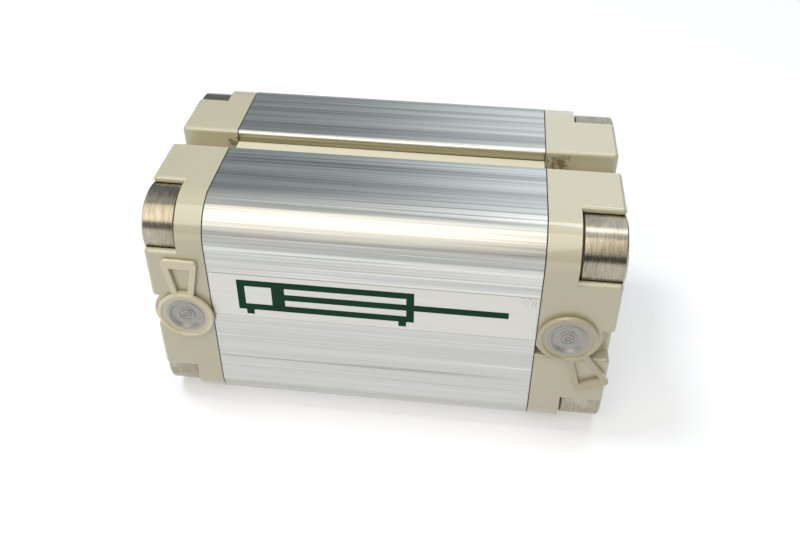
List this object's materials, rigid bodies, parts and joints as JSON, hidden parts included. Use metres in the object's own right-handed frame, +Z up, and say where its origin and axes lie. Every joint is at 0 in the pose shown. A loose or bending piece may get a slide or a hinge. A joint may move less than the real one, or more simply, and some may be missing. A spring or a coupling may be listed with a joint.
{
  "type": "compact pneumatic cylinder",
  "caption": "Compact double-acting pneumatic cylinder with a square slotted barrel, moulded covers, collar screws and plugged air ports.",
  "frame": {"origin": "centre of the rear mounting face, on the rod's axis", "axes": "+X along the rod out of the front cover, -Y out of the air ports, +Z up towards the covered slot"},
  "size_m": [0.1265, 0.0696, 0.068],
  "materials": {
    "barrel_aluminium": "extruded, matt clear anodised",
    "cover_plastic": "moulded, fine matt grain",
    "strip_plastic": "extruded, satin",
    "screw_steel": "turned, plated",
    "seal_rubber": "moulded, matt",
    "bumper_rubber": "moulded, matt",
    "bush_bronze": "sintered, satin",
    "piston_aluminium": "turned",
    "bonded_magnet": "plastic-bonded ferrite",
    "guide_plastic": "filled sliding plastic",
    "rod_chrome": "ground and hard chromed",
    "plug_plastic": "soft translucent moulding"
  },
  "bodies": {
    "housing": {"barrel": "barrel_aluminium", "slot_cover": "strip_plastic", "rear_cover": "cover_plastic", "front_cover": "cover_plastic", "rear_collar_screws": "screw_steel", "front_collar_screws": "screw_steel", "rear_joint_seal": "seal_rubber", "front_joint_seal": "seal_rubber", "rear_bumper": "bumper_rubber", "front_bumper": "bumper_rubber", "rod_bush": "bush_bronze", "rod_seal": "seal_rubber"},
    "piston_seals": {"piston_rear_seal": "seal_rubber", "piston_front_seal": "seal_rubber", "guide_ring": "guide_plastic"},
    "rod": {"piston_rod": "rod_chrome", "piston_rear_half": "piston_aluminium", "piston_front_half": "piston_aluminium", "piston_magnet": "bonded_magnet", "hub_seal": "seal_rubber", "piston_screw": "screw_steel"},
    "rear_plug": {"rear_port_plug": "plug_plastic"},
    "front_plug": {"front_port_plug": "plug_plastic"}
  },
  "joints": [
    {"name": "rod_slide", "type": "slide", "parent": "housing", "child": "piston_seals", "axis": [1, 0, 0], "range_m": [0, 0.075]},
    {"name": "rod_turn", "type": "hinge", "parent": "piston_seals", "child": "rod", "pos_m": [0.021, 0, 0], "axis": [1, 0, 0], "continuous": true},
    {"name": "rear_plug_pull", "type": "slide", "parent": "housing", "child": "rear_plug", "axis": [0, -1, 0], "range_m": [0, 0.015]},
    {"name": "front_plug_pull", "type": "slide", "parent": "housing", "child": "front_plug", "axis": [0, -1, 0], "range_m": [0, 0.015]}
  ]
}
